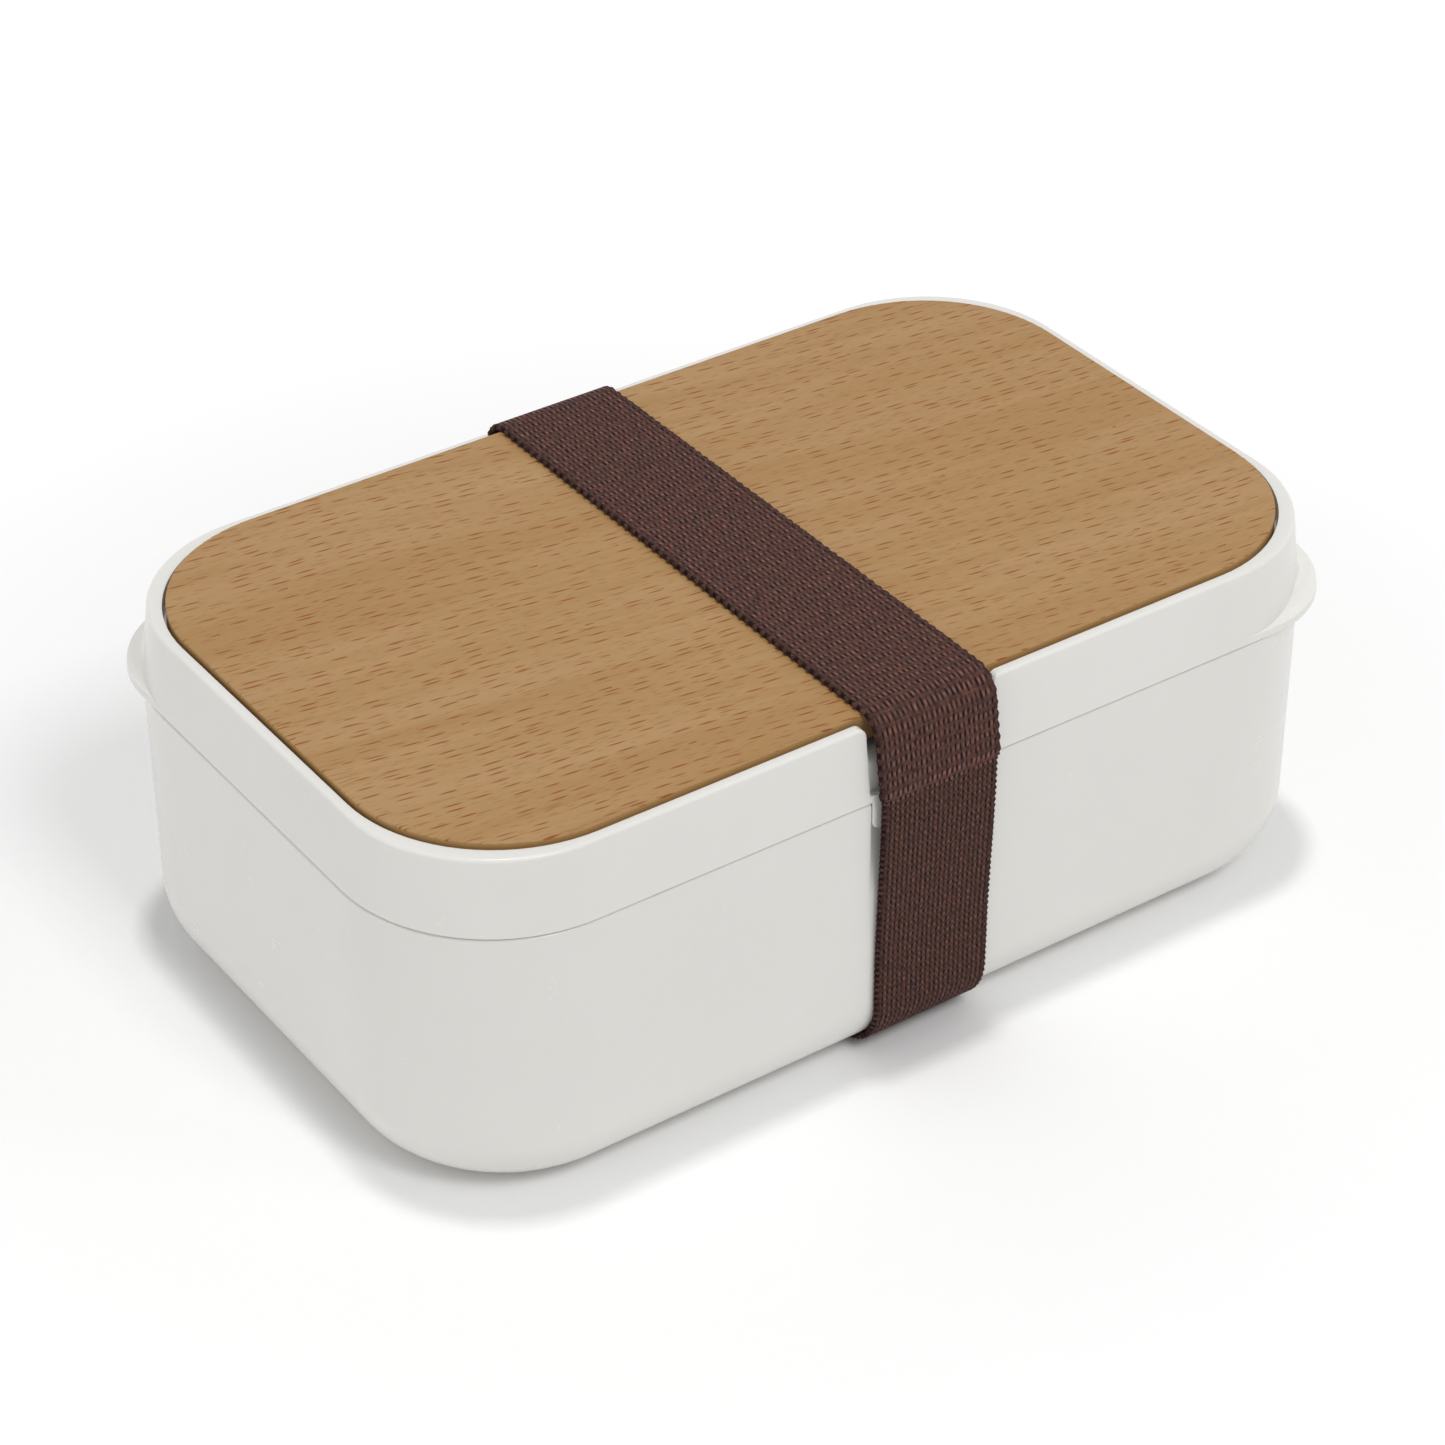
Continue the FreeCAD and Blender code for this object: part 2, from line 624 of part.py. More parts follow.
def make_fork():
    body = new_body("fork")
    lane = -dim.cutlery_offset
    tail = -(dim.fork_length / 2)
    tip = dim.fork_length / 2
    neck = tip - dim.fork_head
    side = new_sketch(body, "fork_side", "XZ_Plane", dim.cutlery_offset)
    top = bay_floor + dim.cutlery_thickness
    draw_outline(side, [
        (tail, bay_floor), (neck, bay_floor, dim.fork_curve), (tip, bay_floor + dim.fork_toe),
        (tip, top + dim.fork_toe), (neck, top, dim.fork_curve), (tail, top),
    ])
    add_pad(body, "fork_strip", side, dim.fork_width, both_ways=True)
    half_head = dim.fork_width / 2
    half_neck = dim.fork_neck / 2
    half_end = dim.fork_end / 2
    end_round = half_end * ROUND_SHARE
    right = [
        (tip, lane + half_head, dim.tine_round), (neck, lane + half_head, dim.fork_shoulder),
        (neck - dim.fork_shoulder, lane + half_neck, dim.fork_shoulder),
        (tail, lane + half_end, end_round),
    ]
    left = [
        (tail, lane - half_end, end_round),
        (neck - dim.fork_shoulder, lane - half_neck, dim.fork_shoulder),
        (neck, lane - half_head, dim.fork_shoulder), (tip, lane - half_head, dim.tine_round),
    ]
    trim_to_plan(body, "fork", right + left, dim.fork_length)
    pitch = (dim.fork_width + dim.slot_width) / (TINE_SLOT_COUNT + 1)
    slots = new_sketch(body, "fork_slots_outline", "XY_Plane", bay_floor - CUT_MARGIN)
    for number in range(TINE_SLOT_COUNT):
        middle = lane + pitch * (number - (TINE_SLOT_COUNT - 1) / 2)
        half_slot = dim.slot_width / 2
        root = half_slot * ROUND_SHARE
        draw_outline(slots, [
            (tip + CUT_MARGIN, middle + half_slot), (tip - dim.slot_length, middle + half_slot, root),
            (tip - dim.slot_length, middle - half_slot, root), (tip + CUT_MARGIN, middle - half_slot),
        ])
    cut = add_pocket(body, "fork_slots", slots, dim.bay_depth + CUT_MARGIN * 2, reverse=True)
    add_fillet(body, "fork_edge_round", level_edges(cut.Shape), dim.cutlery_round)
    return body


def make_knife():
    body = new_body("knife")
    lane = dim.cutlery_offset
    tail = -(dim.knife_length / 2)
    tip = dim.knife_length / 2
    heel = tip - dim.knife_blade
    half_blade = dim.knife_width / 2
    half_end = dim.knife_end / 2
    end_round = half_end * ROUND_SHARE
    outline = new_sketch(body, "knife_outline", "XY_Plane", bay_floor)
    draw_outline(outline, [
        (tip, lane + half_blade, dim.knife_nose), (tail, lane + half_end, end_round),
        (tail, lane - half_end, end_round), (heel - dim.knife_step, lane - half_end, dim.knife_ease),
        (heel, lane - half_blade, dim.knife_ease), (tip, lane - half_blade, dim.knife_tip),
    ])
    blank = add_pad(body, "knife_blank", outline, dim.cutlery_thickness)
    add_fillet(body, "knife_edge_round", level_edges(blank.Shape), dim.cutlery_round)
    bevel = new_sketch(body, "knife_bevel_section", "YZ_Plane", heel)
    edge = lane - half_blade
    land = bay_floor + dim.knife_land
    top = bay_floor + dim.cutlery_thickness
    draw_outline(bevel, [
        (edge, land), (edge + dim.knife_bevel, top), (edge + dim.knife_bevel, top + CUT_MARGIN),
        (edge - CUT_MARGIN, top + CUT_MARGIN), (edge - CUT_MARGIN, land),
    ])
    add_pocket(body, "knife_bevel_cut", bevel, dim.knife_blade, reverse=True)
    return body


pieces = [
    make_tray(),
    make_lid(),
    make_seal(),
    make_cover(),
    make_band("band_upper", upper_run(), dim.band_width),
    make_band("band_lower", lower_run(), dim.band_lower_width),
    make_divider(),
    make_fork(),
    make_knife(),
]
doc.recompute()

for item in doc.Objects:
    if "Invalid" in item.State or "Error" in item.State:
        raise RuntimeError(f"{item.Label} failed: {item.State}")
for piece in pieces:
    if piece.Shape.isNull() or not piece.Shape.isValid() or len(piece.Shape.Solids) != 1:
        raise RuntimeError(f"{piece.Label} is not one sound solid")

os.makedirs("parts", exist_ok=True)
for piece in pieces:
    piece.Shape.exportStep(os.path.join("parts", f"{piece.Label}.step"))
    box = piece.Shape.BoundBox
    print(f"{piece.Label}: {piece.Shape.Volume:.0f} mm3, "
          f"x {box.XMin:.2f} to {box.XMax:.2f}, y {box.YMin:.2f} to {box.YMax:.2f}, "
          f"z {box.ZMin:.2f} to {box.ZMax:.2f}")
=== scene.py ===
"""Bento lunch box: satin off-white plastic, an oiled beech cover and a woven elastic band.

Metres, in the part's own frame: +X along the box, -Y to the front, +Z up from the table.
"""
import math

import bpy
import numpy as np
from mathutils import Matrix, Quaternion, Vector


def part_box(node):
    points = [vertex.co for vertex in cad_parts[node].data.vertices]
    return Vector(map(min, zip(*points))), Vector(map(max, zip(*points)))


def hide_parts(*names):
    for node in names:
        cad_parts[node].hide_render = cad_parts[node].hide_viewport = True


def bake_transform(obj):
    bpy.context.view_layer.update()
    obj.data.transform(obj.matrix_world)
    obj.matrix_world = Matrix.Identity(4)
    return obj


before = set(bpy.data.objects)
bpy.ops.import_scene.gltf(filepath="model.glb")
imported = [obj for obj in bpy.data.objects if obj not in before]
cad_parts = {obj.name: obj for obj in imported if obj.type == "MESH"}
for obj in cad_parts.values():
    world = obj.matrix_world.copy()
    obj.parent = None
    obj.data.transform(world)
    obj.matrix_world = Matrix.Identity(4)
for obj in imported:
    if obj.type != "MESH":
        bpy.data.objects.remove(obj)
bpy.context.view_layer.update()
MM = 0.001

# Camera
LENS_MM = 100.2
SENSOR_MM = 36.0
CAMERA_PLACE = (-0.31633, -0.45178, 0.41529)
CAMERA_AZIMUTH = math.radians(-34.871)
CAMERA_ELEVATION = math.radians(34.901)
CAMERA_ROLL = math.radians(-0.117)

# Light, with each lamp's name, place, side and watts
AMBIENT = 0.45
MIRRORED = 1.0
LAMPS = [
    ("overhead_lamp", (0.05, 0.12, 2.5), 0.2, 16.5),
    ("front_lamp", (0.05, -1.1, 1.45), 0.5, 8.2),
    ("edge_lamp", (0.85, -1.0, 1.2), 0.35, 1.2),
    ("left_lamp", (-1.5, 0.3, 0.3), 0.6, 2.5),
]
LAMP_AIM = (0.0, 0.0, 0.03)

# Floor, which is shown paler the further it lies from the box: painted shade near the box
FLOOR_SIZE = 8.0
FLOOR_PALE = 0.95
FLOOR_SEEN_NEAR = 0.985
FLOOR_SEEN_FAR = 1.9
FLOOR_FADE = (0.08, 0.6)

# Noise runs from 0 to 1, mostly within this span
NOISE_MEAN = 0.5
NOISE_SPAN = (0.3, 0.7)

# Plastic and silicone
OFF_WHITE = (0.800, 0.790, 0.755)
OFF_WHITE_SHADE = (0.785, 0.775, 0.738)
SATIN = 0.25
POLISHED = 0.22
HANDLING_WEAR = 0.10
GRAIN_WEAR = 0.05
PLASTIC_IOR = 1.46
GLOW_SHARE = 0.2
GLOW_COLOUR = (1.0, 0.85, 0.6)
GLOW_DEPTH = 1.5 * MM
SILICONE = (0.66, 0.67, 0.66)
SILICONE_HAZE = (0.72, 0.72, 0.71)
SILICONE_IOR = 1.42

# Wood
GRAIN_TURN = math.radians(7.5)
GRAIN_WANDER = 6.0 * MM
BEECH_WARM = (0.395, 0.222, 0.084)
BEECH_PALE = (0.440, 0.266, 0.116)
BEECH_STREAK = (0.35, 0.185, 0.062)
BEECH_PORE = (0.30, 0.15, 0.050)
# The cover's sides, painted lighter and more saturated than the top as painted light
BEECH_SIDE_PAINTED_LIGHT = (0.450, 0.262, 0.098)
STREAK_SHARE = 0.40
PORE_SHARE = 0.32
FLECK = (0.260, 0.076, 0.016)
FLECK_CELL = (4.8 * MM, 1.9 * MM, 30.0 * MM)
FLECK_HALF_SIZE = (2.3 * MM, 0.25 * MM, 40.0 * MM)
FLECK_SCATTER = 0.75
SMALL_FLECK = (0.270, 0.095, 0.026)
SMALL_FLECK_CELL = (3.1 * MM, 1.3 * MM, 25.0 * MM)
SMALL_FLECK_HALF_SIZE = (1.2 * MM, 0.18 * MM, 30.0 * MM)
SMALL_FLECK_SHARE = 0.50
FACE_DEPTH = (0.4 * MM, 0.2 * MM)
OILED = 0.52
OIL_IOR = 1.46
OIL_SPECULAR = 0.3

# Band's route
BAND_THICKNESS = 1.0 * MM
BAND_GAP = 0.1 * MM
BAND_SOFT = 12.0 * MM
BAND_TURN = 9.8 * MM
COVER_OVERHANG = 2.8 * MM
COVER_BEND = 4.0 * MM
LEAN_HEIGHT = 1.6 * MM
TONGUE_DROP = 5.1 * MM
SETTLE_HEIGHT = 22.0 * MM
ROUTE_STEP = 0.1 * MM
ARC_POINTS = 4

# Band's weave, with dashes and drift counted in strands and floats
YARN_PITCH = 0.95 * MM
YARN_RELIEF = 0.22 * MM
YARN_STEPS = 4
FLOAT_STEPS = 4
UPPER_FLOAT = 1.73 * MM
LOWER_FLOAT = 1.22 * MM
DASH_HALF_WIDTH = 0.25
DASH_HALF_LENGTH = 0.36
DASH_STRAY = 0.10
DASH_STRAY_TURN = 2.4
WEAVE_DRIFT = 0.40
EDGE_STRANDS = 1.0

# Band's yarn
# Same yarn in both lengths: the upper crown painted lighter and the lower crown darker, as painted light and
# shade
UPPER_CROWN_LIT = (0.157, 0.075, 0.061)
LOWER_CROWN_SHADED = (0.127, 0.061, 0.049)
EDGE_CROWN = (0.120, 0.060, 0.051)
# Painted shade for the dashes and hollows of the weave, also mixed into the edge loops
HOLLOW_PAINTED_SHADE = (0.014, 0.006, 0.006)
COOL_TINT = (0.94, 1.00, 1.05)
RUSTY_TINT = (1.04, 0.97, 0.92)
YARN_GROUND = 0.40
# Painted light on the strands: lighter crowns than sides, a painted highlight at each crest and a painted
# glint of random strength
CROWN_PAINTED_LIGHT = 0.13
CREST_PAINTED_HIGHLIGHT = 0.28
CREST_PAINTED_GLINT = 0.56
WEFT_GLEAM = 0.30
STITCH_GLEAM = 0.30
EDGE_SHADE = 0.60
FIBRE_CONTRAST = 0.7
GLINT_SPECKLE_CONTRAST = 1.1
PATCH_CONTRAST = 0.2
WOVEN = 0.72
EDGE_WOVEN = 0.80
FUZZ = 0.2
YARN_SPECULAR = 0.10

# Band's edge loops
UPPER_LOOP = 2.0 * MM
LOWER_LOOP = 1.15 * MM
LOOP_RING = 0.33 * MM
LOOP_YARN = 0.22 * MM
LOOP_RING_STEPS = 10
LOOP_YARN_STEPS = 6
LOOP_STRETCH = 1.35
LOOP_FILL = 0.29
LOOP_PROUD = 0.2 * MM
SELVAGE = 0.25 * MM
SMOOTH_ANGLE = math.radians(60)


# Shader expressions


class Signal:
    """One output of a node; arithmetic on it adds Math nodes."""

    def __init__(self, nodes, socket):
        self.nodes = nodes
        self.socket = socket

    def math(self, operation, other=0.0):
        return self.nodes.node("ShaderNodeMath", {"operation": operation}, {0: self, 1: other})

    def __add__(self, other):
        return self.math("ADD", other)

    def __sub__(self, other):
        return self.math("SUBTRACT", other)

    def __rsub__(self, other):
        return self.nodes.node("ShaderNodeMath", {"operation": "SUBTRACT"}, {0: other, 1: self})

    def __mul__(self, other):
        return self.math("MULTIPLY", other)

    def __truediv__(self, other):
        return self.math("DIVIDE", other)

    __radd__ = __add__
    __rmul__ = __mul__


class Nodes:
    """A node tree, and the patterns that are made in it."""

    def __init__(self, tree):
        self.tree = tree

    def node(self, kind, settings=None, sockets=None, output=0):
        made = self.tree.nodes.new(kind)
        for name, value in (settings or {}).items():
            setattr(made, name, value)
        for key, value in (sockets or {}).items():
            self.feed(made.inputs[key], value)
        return Signal(self, made.outputs[output])

    def feed(self, socket, value):
        if isinstance(value, Signal):
            self.tree.links.new(value.socket, socket)
        else:
            socket.default_value = value

    def place(self, turn=(0.0, 0.0, 0.0), kind="Object"):
        """The surface's own coordinates, turned."""
        own = self.node("ShaderNodeTexCoord", output=kind)
        return self.node("ShaderNodeMapping", {}, {"Vector": own, "Rotation": turn})

    def vector(self, operation, first, second=(0.0, 0.0, 0.0), output=0):
        return self.node("ShaderNodeVectorMath", {"operation": operation}, {0: first, 1: second}, output)

    def stretched(self, vector, scale):
        return self.vector("MULTIPLY", vector, scale)

    def length(self, vector):
        return self.vector("LENGTH", vector, output="Value")

    def part(self, vector, axis):
        return self.node("ShaderNodeSeparateXYZ", {}, {0: vector}, axis)

    def noise(self, vector, scale, detail, roughness, output=0):
        sockets = {"Vector": vector, "Scale": scale, "Detail": detail, "Roughness": roughness}
        return self.node("ShaderNodeTexNoise", {}, sockets, output)

    def stretched_noise(self, vector, scale, detail, roughness):
        """Noise with a scale of its own along each axis."""
        return self.noise(self.stretched(vector, scale), 1.0, detail, roughness)

    def chance(self, across, along):
        """A random number of its own for each place that is counted in whole numbers."""
        spot = self.node("ShaderNodeCombineXYZ", {}, {"X": across, "Y": along})
        return self.node("ShaderNodeTexWhiteNoise", {"noise_dimensions": "2D"}, {"Vector": spot})

    def smooth(self, value, low, high, start=0.0, end=1.0):
        """A smooth step from start to end as the value goes from low to high."""
        sockets = {"Value": value, "From Min": low, "From Max": high, "To Min": start, "To Max": end}
        return self.node("ShaderNodeMapRange", {"interpolation_type": "SMOOTHSTEP"}, sockets)

    def grey(self, level):
        return self.node("ShaderNodeCombineColor", {}, {0: level, 1: level, 2: level})

    def mix(self, share, first, second, blend="MIX"):
        first, second = [(*c, 1.0) if isinstance(c, tuple) else c for c in (first, second)]
        settings = {"data_type": "RGBA", "blend_type": blend}
        return self.node("ShaderNodeMix", settings, {0: share, 6: first, 7: second}, 2)

    def bump(self, height, strength, distance):
        sockets = {"Height": height, "Strength": strength, "Distance": distance}
        return self.node("ShaderNodeBump", {}, sockets)

    def seen(self):
        """1 where a ray shows the surface to the camera, straight, mirrored or through glass; else 0."""
        kinds = ("Is Camera Ray", "Is Glossy Ray", "Is Transmission Ray")
        straight, mirrored, through = [self.node("ShaderNodeLightPath", output=kind) for kind in kinds]
        return straight.math("MAXIMUM", mirrored).math("MAXIMUM", through)


class Finish(Nodes):
    """A material and the nodes that make its pattern."""

    def __init__(self, name):
        self.material = bpy.data.materials.new(name)
        self.material.use_nodes = True
        super().__init__(self.material.node_tree)
        self.shader = self.tree.nodes["Principled BSDF"]

    def shade(self, **inputs):
        """Set the shader's own sockets, named with underscores for spaces."""
        for name, value in inputs.items():
            self.feed(self.shader.inputs[name.replace("_", " ")], value)


# Finishes


def moulded_plastic(name, roughness):
    """Off-white moulded plastic: nearly even colour, a fine spark-eroded grain and faint flow marks."""
    finish = Finish(name)
    here = finish.place()
    flow = finish.noise(here, scale=28.0, detail=3.0, roughness=0.6)
    grain = finish.noise(here, scale=2600.0, detail=2.0, roughness=0.55)
    handling = finish.noise(here, scale=140.0, detail=4.0, roughness=0.62)
    wear = (handling - NOISE_MEAN) * HANDLING_WEAR
    finish.shade(
        Base_Color=finish.mix(finish.smooth(flow, *NOISE_SPAN), OFF_WHITE, OFF_WHITE_SHADE),
        Roughness=roughness + wear + (grain - NOISE_MEAN) * GRAIN_WEAR,
        Normal=finish.bump(grain, strength=0.10, distance=0.02 * MM),
        IOR=PLASTIC_IOR,
        Subsurface_Weight=GLOW_SHARE,
        Subsurface_Radius=GLOW_COLOUR,
        Subsurface_Scale=GLOW_DEPTH,
    )
    return finish.material


def oiled_beech():
    """Beech along X: broad warm and pale streaks, fine pore lines and short red-brown flecks."""
    finish = Finish("oiled_beech")
    here = finish.place(turn=(0.0, 0.0, GRAIN_TURN))
    wander = finish.noise(here, scale=14.0, detail=1.0, roughness=0.4)
    shift = finish.node("ShaderNodeCombineXYZ", {}, {"Y": (wander - NOISE_MEAN) * GRAIN_WANDER})
    grain = finish.vector("ADD", here, shift)

    broad = finish.stretched_noise(grain, scale=(9.0, 95.0, 95.0), detail=3.0, roughness=0.55)
    streak = finish.stretched_noise(grain, scale=(26.0, 520.0, 520.0), detail=3.0, roughness=0.6)
    pores = finish.stretched_noise(grain, scale=(330.0, 3300.0, 3300.0), detail=2.0, roughness=0.5)
    streak_mask = finish.smooth(streak, 0.42, 0.75, end=STREAK_SHARE)
    pore_mask = finish.smooth(pores, 0.58, 0.74, end=PORE_SHARE)
    flecks = fleck_mask(finish, grain, FLECK_CELL, FLECK_HALF_SIZE)
    small_flecks = fleck_mask(finish, grain, SMALL_FLECK_CELL, SMALL_FLECK_HALF_SIZE)
    colour = finish.mix(finish.smooth(broad, *NOISE_SPAN), BEECH_WARM, BEECH_PALE)
    colour = finish.mix(streak_mask, colour, BEECH_STREAK)
    colour = finish.mix(pore_mask, colour, BEECH_PORE)
    colour = finish.mix(flecks, colour, FLECK)
    colour = finish.mix(small_flecks * SMALL_FLECK_SHARE, colour, SMALL_FLECK)

    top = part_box("wood_cover")[1].z
    # Below the top face the sides take the painted light colour, without grain or flecks
    face = finish.smooth(finish.part(here, "Z"), *(top - depth for depth in FACE_DEPTH))
    height = (streak * 0.25 - pore_mask - flecks * 0.5) * face
    finish.shade(
        Base_Color=finish.mix(face, BEECH_SIDE_PAINTED_LIGHT, colour),
        Roughness=OILED + (streak - NOISE_MEAN) * 0.16 + flecks * 0.08,
        Normal=finish.bump(height, strength=0.25, distance=0.05 * MM),
        IOR=OIL_IOR,
        Specular_IOR_Level=OIL_SPECULAR,
    )
    return finish.material


def fleck_mask(finish, grain, cell, half_size):
    """Lens-shaped flecks, one in most cells, each with a strength of its own."""
    cells = finish.stretched(grain, tuple(1.0 / side for side in cell))
    settings = {"voronoi_dimensions": "3D", "feature": "F1"}
    sockets = {"Vector": cells, "Scale": 1.0, "Randomness": FLECK_SCATTER}
    middle = finish.node("ShaderNodeTexVoronoi", settings, sockets, "Position")
    chance = finish.node("ShaderNodeTexVoronoi", settings, sockets, "Color")
    apart = finish.vector("SUBTRACT", cells, middle)
    reach = tuple(side / half for side, half in zip(cell, half_size))
    distance = finish.length(finish.stretched(apart, reach))
    strength = finish.smooth(finish.node("ShaderNodeSeparateColor", {}, {0: chance}), 0.0, 0.7)
    return finish.smooth(distance, 0.35, 1.0, 1.0, 0.0) * strength


def woven_elastic(name, columns, floats, crown):
    """Woven elastic: strands along the band, uneven rows of dark dashes of painted shade and a thin pale weft
    between rows.

    The map counts strands across and floats along; the edges lie in the shade behind the loops, and a row
    of pale stitches closes both ends.
    """
    finish = Finish(name)
    flat = finish.place(kind="UV")
    drift = finish.noise(flat, scale=0.7, detail=1.0, roughness=0.5, output="Color")
    drift = finish.vector("SUBTRACT", drift, (NOISE_MEAN, NOISE_MEAN, NOISE_MEAN))
    here = finish.vector("ADD", flat, finish.stretched(drift, (WEAVE_DRIFT, WEAVE_DRIFT, 0.0)))
    across = finish.part(here, "X")
    along = finish.part(here, "Y")

    # Dark dashes between the strands, coloured with painted shade where the weave's hollows lie
    boundary = across.math("ROUND")
    aside = (across - boundary).math("ABSOLUTE")
    row = along + (boundary * DASH_STRAY_TURN).math("SINE") * DASH_STRAY
    ahead = (row.math("FRACT") - 0.5).math("ABSOLUTE")
    luck = finish.chance(boundary, row.math("FLOOR"))
    length = (0.75 + luck * 0.5) * DASH_HALF_LENGTH
    reach = (aside / DASH_HALF_WIDTH).math("POWER", 2.0) + (ahead / length).math("POWER", 2.0)
    dash = finish.smooth(reach, 0.30, 1.05, 1.0, 0.0) * (0.55 + luck * 0.45)

    # Strands, each with a painted highlight on its crest in the middle of a float, a painted glint of random
    # strength, and the weft between floats
    apart = (along.math("FRACT") - 0.5).math("ABSOLUTE")
    crest = finish.smooth(apart, 0.0, 0.42, 1.0, 0.0)
    weft = finish.smooth(apart, 0.42, 0.49)
    glint_chance = finish.chance(across.math("FLOOR"), along.math("FLOOR"))
    round_top = finish.smooth(aside, 0.06, 0.44)

    # Fibres, a speckle that paints small glints, and larger uneven places
    fibres = finish.stretched_noise(here, scale=(5.0, 3.0, 1.0), detail=2.0, roughness=0.6)
    glint_speckle = finish.stretched_noise(here, scale=(1.7, 1.2, 1.0), detail=2.0, roughness=0.6)
    patch = finish.stretched_noise(here, scale=(0.45, 0.45, 1.0), detail=2.0, roughness=0.5)

    # Stitched ends and shaded edges
    from_middle = (along - floats / 2).math("ABSOLUTE")
    end_row = finish.smooth(from_middle, floats / 2 - 0.75, floats / 2 - 0.55)
    inside = columns / 2 - (across - columns / 2).math("ABSOLUTE")
    behind = finish.smooth(inside, EDGE_STRANDS * 0.5, EDGE_STRANDS, EDGE_SHADE, 1.0)

    # Painted light and shade: strands painted darker at their sides and lighter on their crowns, with the
    # crest highlights and glints
    bright = YARN_GROUND + round_top * (CROWN_PAINTED_LIGHT + crest * (CREST_PAINTED_HIGHLIGHT + CREST_PAINTED_GLINT * glint_chance))
    bright = bright + weft * WEFT_GLEAM * glint_speckle
    for pattern, contrast in ((fibres, FIBRE_CONTRAST), (glint_speckle, GLINT_SPECKLE_CONTRAST), (patch, PATCH_CONTRAST)):
        bright = bright + (pattern - NOISE_MEAN) * contrast
    bright = bright * (1.0 + end_row * STITCH_GLEAM) * behind
    cool = tuple(c * t for c, t in zip(crown, COOL_TINT))
    rusty = tuple(c * t for c, t in zip(crown, RUSTY_TINT))
    yarn = finish.mix(finish.smooth(patch, *NOISE_SPAN), cool, rusty)
    yarn = finish.mix(1.0, yarn, finish.grey(bright), "MULTIPLY")
    finish.shade(
        # The dashes take the painted hollow shade colour
        Base_Color=finish.mix(dash, yarn, HOLLOW_PAINTED_SHADE),
        Roughness=WOVEN + (fibres - NOISE_MEAN) * FUZZ,
        Normal=finish.bump(round_top * 0.6 + fibres * 0.4 - dash, strength=0.5, distance=0.09 * MM),
        Specular_IOR_Level=YARN_SPECULAR,
    )
    return finish.material


def edge_yarn():
    """The darker loops round the band's edges: fibre noise mixes painted hollow shade into the edge crown
    colour.
    """
    finish = Finish("edge_yarn")
    here = finish.place()
    fibres = finish.noise(here, scale=5200.0, detail=3.0, roughness=0.6)
    blotch = finish.noise(here, scale=420.0, detail=2.0, roughness=0.5)
    # Fibre noise mixes the painted hollow shade into the edge crown colour
    lit = finish.smooth(fibres * 0.7 + blotch * 0.3, 0.35, 0.65)
    finish.shade(
        Base_Color=finish.mix(lit, HOLLOW_PAINTED_SHADE, EDGE_CROWN),
        Roughness=EDGE_WOVEN + (fibres - NOISE_MEAN) * FUZZ,
        Normal=finish.bump(fibres, strength=0.5, distance=0.06 * MM),
        Specular_IOR_Level=YARN_SPECULAR,
    )
    return finish.material


def soft_silicone():
    """Milky silicone with a faint dusty haze."""
    finish = Finish("soft_silicone")
    here = finish.place()
    haze = finish.noise(here, scale=210.0, detail=3.0, roughness=0.6)
    grain = finish.noise(here, scale=3000.0, detail=2.0, roughness=0.5)
    finish.shade(
        Base_Color=finish.mix(finish.smooth(haze, *NOISE_SPAN), SILICONE, SILICONE_HAZE),
        Roughness=0.5 + (haze - NOISE_MEAN) * 0.2,
        Normal=finish.bump(grain, strength=0.15, distance=0.02 * MM),
        IOR=SILICONE_IOR,
    )
    return finish.material


def dress(piece, material):
    """Give a piece its finish."""
    piece.data.materials.clear()
    piece.data.materials.append(material)


# Band


def rounded_route(corners):
    """Points along a line through (y, z, radius) corners, with a true arc at each."""
    places = [np.array(corner[:2]) for corner in corners]
    points = [places[0]]
    for before, here, after, corner in zip(places, places[1:], places[2:], corners[1:]):
        into = (before - here) / np.linalg.norm(before - here)
        out = (after - here) / np.linalg.norm(after - here)
        half_angle = math.acos(np.clip(into @ out, -1, 1)) / 2
        radius = corner[2]
        middle = (into + out) / np.linalg.norm(into + out)
        centre = here + middle * (radius / math.sin(half_angle))
        first = here + into * (radius / math.tan(half_angle)) - centre
        last = here + out * (radius / math.tan(half_angle)) - centre
        sweep = math.pi - 2 * half_angle
        for share in np.linspace(0, 1, max(ARC_POINTS, int(sweep * radius / ROUTE_STEP))):
            weight = np.array([math.sin((1 - share) * sweep), math.sin(share * sweep)]) / math.sin(sweep)
            points.append(centre + weight[0] * first + weight[1] * last)
    points.append(places[-1])
    return np.array(points)


def both_sides(front):
    """A route from its front half: the back is the same, mirrored."""
    return front + [(-y, z, radius) for y, z, radius in reversed(front)]


class Route:
    """The band's inner face seen along X, measured along its length."""

    def __init__(self, corners, outward):
        self.points = rounded_route(both_sides(corners))
        steps = np.linalg.norm(np.diff(self.points, axis=0), axis=1)
        self.reach = np.concatenate([[0], np.cumsum(steps)])
        self.length = self.reach[-1]
        tangent = np.gradient(self.points, self.reach, axis=0)
        tangent /= np.linalg.norm(tangent, axis=1)[:, None]
        self.normal = np.stack([-tangent[:, 1], tangent[:, 0]], axis=1) * outward

    def wrap(self, flat):
        """Flat points (across, along, height) laid on the route."""
        across, along, height = flat.T
        place = np.stack([np.interp(along, self.reach, self.points[:, i]) for i in range(2)])
        normal = np.stack([np.interp(along, self.reach, self.normal[:, i]) for i in range(2)])
        normal /= np.linalg.norm(normal, axis=0)
        return np.stack([across, *(place + normal * height)], axis=1)


def upper_route():
    """From the seam up past the tongue's ledge, round the cover's edge and across the top."""
    low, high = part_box("band_upper")
    off_tongue = high.y - BAND_THICKNESS
    over_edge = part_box("wood_cover")[1].y + COVER_OVERHANG
    return Route([
        (-off_tongue, low.z, 0.0),
        (-off_tongue, low.z + LEAN_HEIGHT, BAND_SOFT),
        (-over_edge, high.z - BAND_THICKNESS, COVER_BEND),
    ], outward=1)


